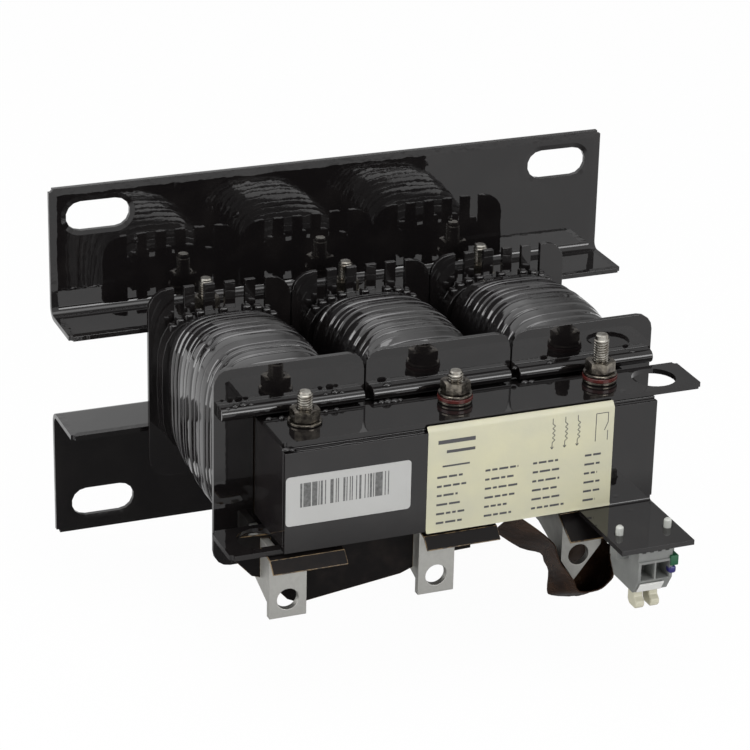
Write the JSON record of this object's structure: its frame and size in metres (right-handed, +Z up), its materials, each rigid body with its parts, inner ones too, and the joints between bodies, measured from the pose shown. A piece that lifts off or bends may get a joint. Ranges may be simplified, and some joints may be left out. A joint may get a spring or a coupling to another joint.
{
  "type": "detuned reactor",
  "caption": "Polyphase iron-core reactor on slotted panel brackets, with clamped core, crowned black windings, drilled terminal flags and a small spring terminal block.",
  "frame": {"origin": "on the panel face of the upper bracket, half way between its two slots", "axes": "+X along the brackets to the terminal block's side, +Y into the mounting panel, +Z up"},
  "size_m": [0.24, 0.1885, 0.15],
  "materials": {
    "black_lacquer": "glossy black dip lacquer",
    "core_iron": "black lacquer over laminations",
    "lacquered_wire": "glossy black lacquer over ribbed turns",
    "bobbin_moulding": "glossy black",
    "gap_board": "pressed board",
    "zinc_plated_steel": "zinc plated, lacquer stained",
    "red_fibre": "red-brown fibre",
    "aluminium": "mill finish",
    "black_board": "lacquered insulating board",
    "varnished_paper": "dark brown varnish",
    "grey_moulding": "satin grey",
    "ivory_moulding": "satin ivory",
    "white_marker": "matte white"
  },
  "bodies": {
    "root": {"upper_bracket": "black_lacquer", "lower_bracket": "black_lacquer", "rear_yoke": "core_iron", "front_yoke": "core_iron", "core_limb_a": "core_iron", "core_limb_b": "core_iron", "core_limb_c": "core_iron", "gap_spacer_a": "gap_board", "gap_spacer_b": "gap_board", "gap_spacer_c": "gap_board", "bobbin_a": "bobbin_moulding", "bobbin_b": "bobbin_moulding", "bobbin_c": "bobbin_moulding", "winding_a": "lacquered_wire", "winding_b": "lacquered_wire", "winding_c": "lacquered_wire", "top_clamp_plate": "black_lacquer", "bottom_clamp_plate": "black_lacquer", "clamp_bolt_rear_a": "zinc_plated_steel", "clamp_bolt_rear_b": "zinc_plated_steel", "clamp_bolt_rear_c": "zinc_plated_steel", "clamp_bolt_front_a": "zinc_plated_steel", "clamp_bolt_front_b": "zinc_plated_steel", "clamp_bolt_front_c": "zinc_plated_steel", "clamp_nut_rear_a": "zinc_plated_steel", "clamp_nut_rear_b": "zinc_plated_steel", "clamp_nut_rear_c": "zinc_plated_steel", "clamp_nut_front_a": "zinc_plated_steel", "clamp_nut_front_b": "zinc_plated_steel", "clamp_nut_front_c": "zinc_plated_steel", "washer_top_rear_a": "zinc_plated_steel", "washer_top_rear_b": "zinc_plated_steel", "washer_top_rear_c": "zinc_plated_steel", "washer_top_front_a": "zinc_plated_steel", "washer_top_front_b": "zinc_plated_steel", "washer_top_front_c": "zinc_plated_steel", "washer_bottom_rear_a": "zinc_plated_steel", "washer_bottom_rear_b": "zinc_plated_steel", "washer_bottom_rear_c": "zinc_plated_steel", "washer_bottom_front_a": "zinc_plated_steel", "washer_bottom_front_b": "zinc_plated_steel", "washer_bottom_front_c": "zinc_plated_steel", "washer_base_front_b": "zinc_plated_steel", "washer_base_front_c": "zinc_plated_steel", "insulating_washer_front_b": "red_fibre", "insulating_washer_front_c": "red_fibre", "terminal_bracket": "black_lacquer", "terminal_flag_a": "aluminium", "terminal_flag_b": "aluminium", "terminal_flag_c": "aluminium", "insulating_flap_a": "black_board", "insulating_flap_b": "black_board", "insulating_flap_c": "black_board", "insulating_card": "black_board", "insulating_paper": "varnished_paper", "terminal_block": "grey_moulding", "marker_strip": "white_marker", "release_lever_a": "ivory_moulding", "release_lever_b": "ivory_moulding"}
  },
  "joints": []
}
